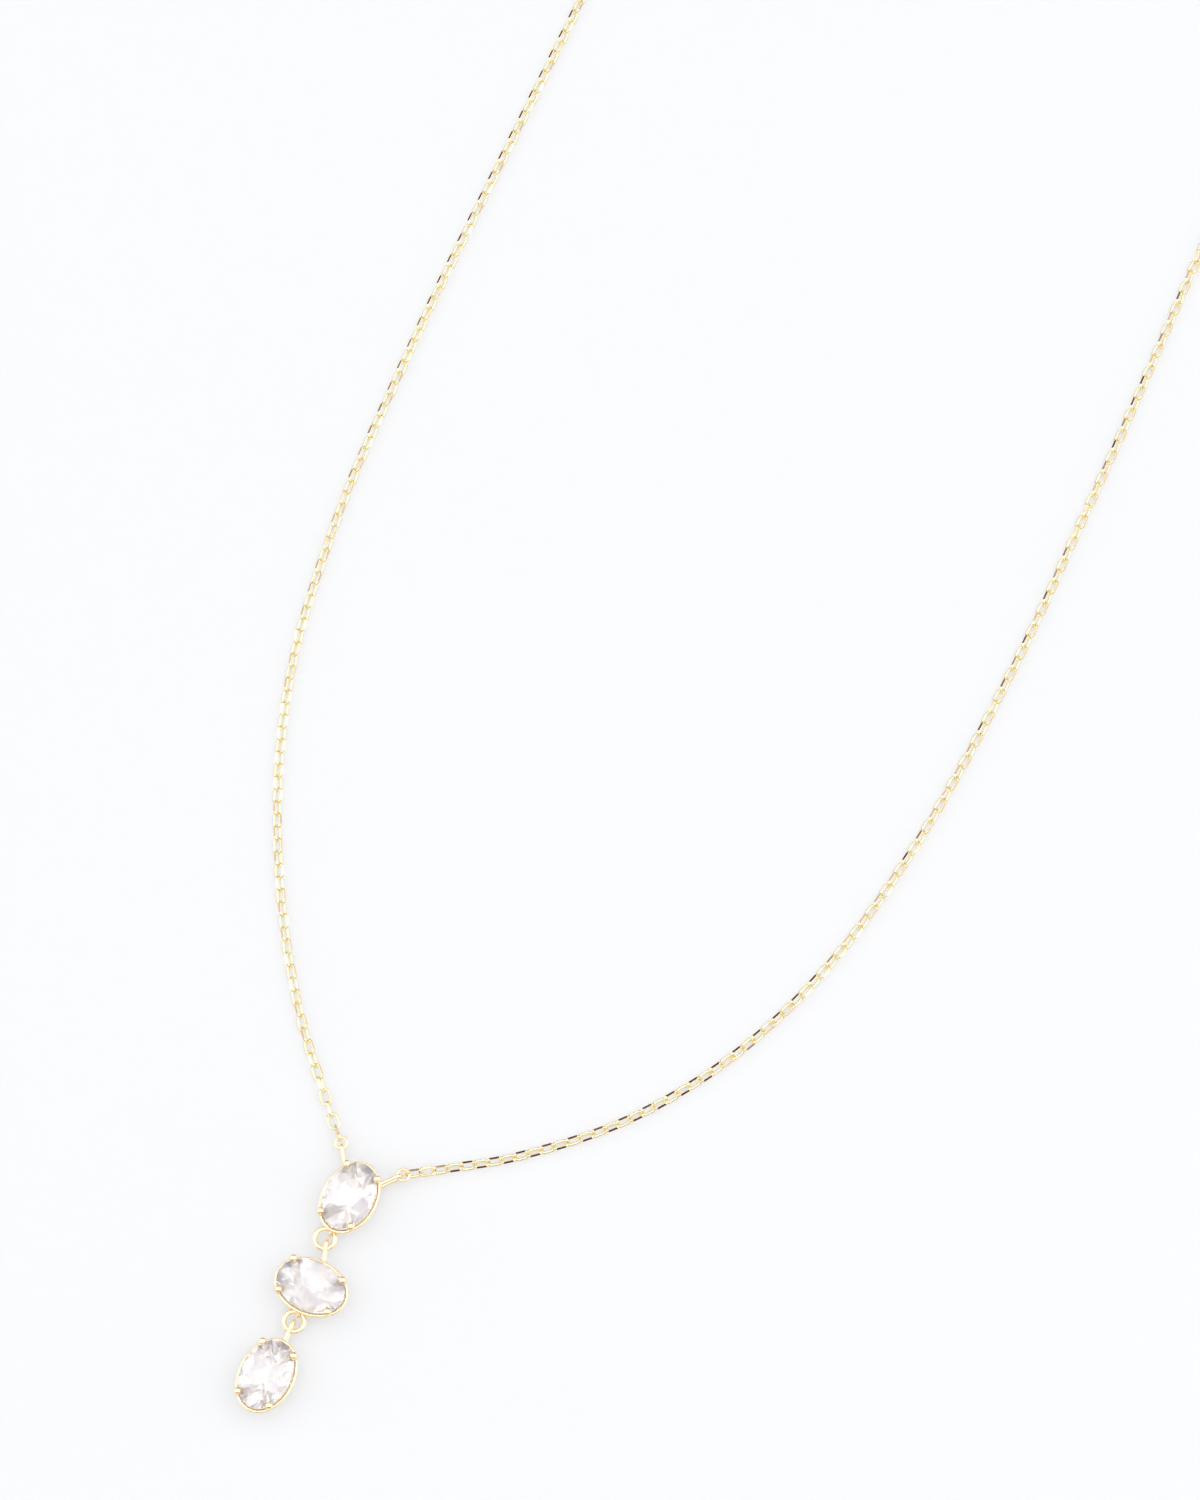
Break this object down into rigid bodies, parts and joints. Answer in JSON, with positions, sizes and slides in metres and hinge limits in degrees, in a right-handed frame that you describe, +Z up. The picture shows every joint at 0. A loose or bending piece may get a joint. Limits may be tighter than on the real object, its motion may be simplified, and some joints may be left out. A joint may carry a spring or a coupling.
{
  "type": "drop necklace",
  "caption": "Fine closed chain necklace with a drop of clear oval stones in claw settings, linked end to end by round rings, lying flat.",
  "frame": {"origin": "middle of the whole outline seen from above, on the surface that the necklace lies on", "axes": "+Z up from the surface, +Y from the drop towards the clasp, +X to the wearer's left as worn with the stones' tables outward"},
  "size_m": [0.0736, 0.1978, 0.0034],
  "materials": {
    "gold": "polished",
    "chain": "polished, diamond cut",
    "stone": "faceted, clear"
  },
  "bodies": {
    "root": {"setting_top": "gold", "setting_middle": "gold", "setting_bottom": "gold", "stone_top": "stone", "stone_middle": "stone", "stone_bottom": "stone", "jump_ring_upper": "gold", "jump_ring_lower": "gold", "chain_ring_left": "gold", "chain_ring_right": "gold", "chain_left": "chain", "chain_right": "chain", "clasp": "gold", "clasp_ring": "gold"}
  },
  "joints": []
}
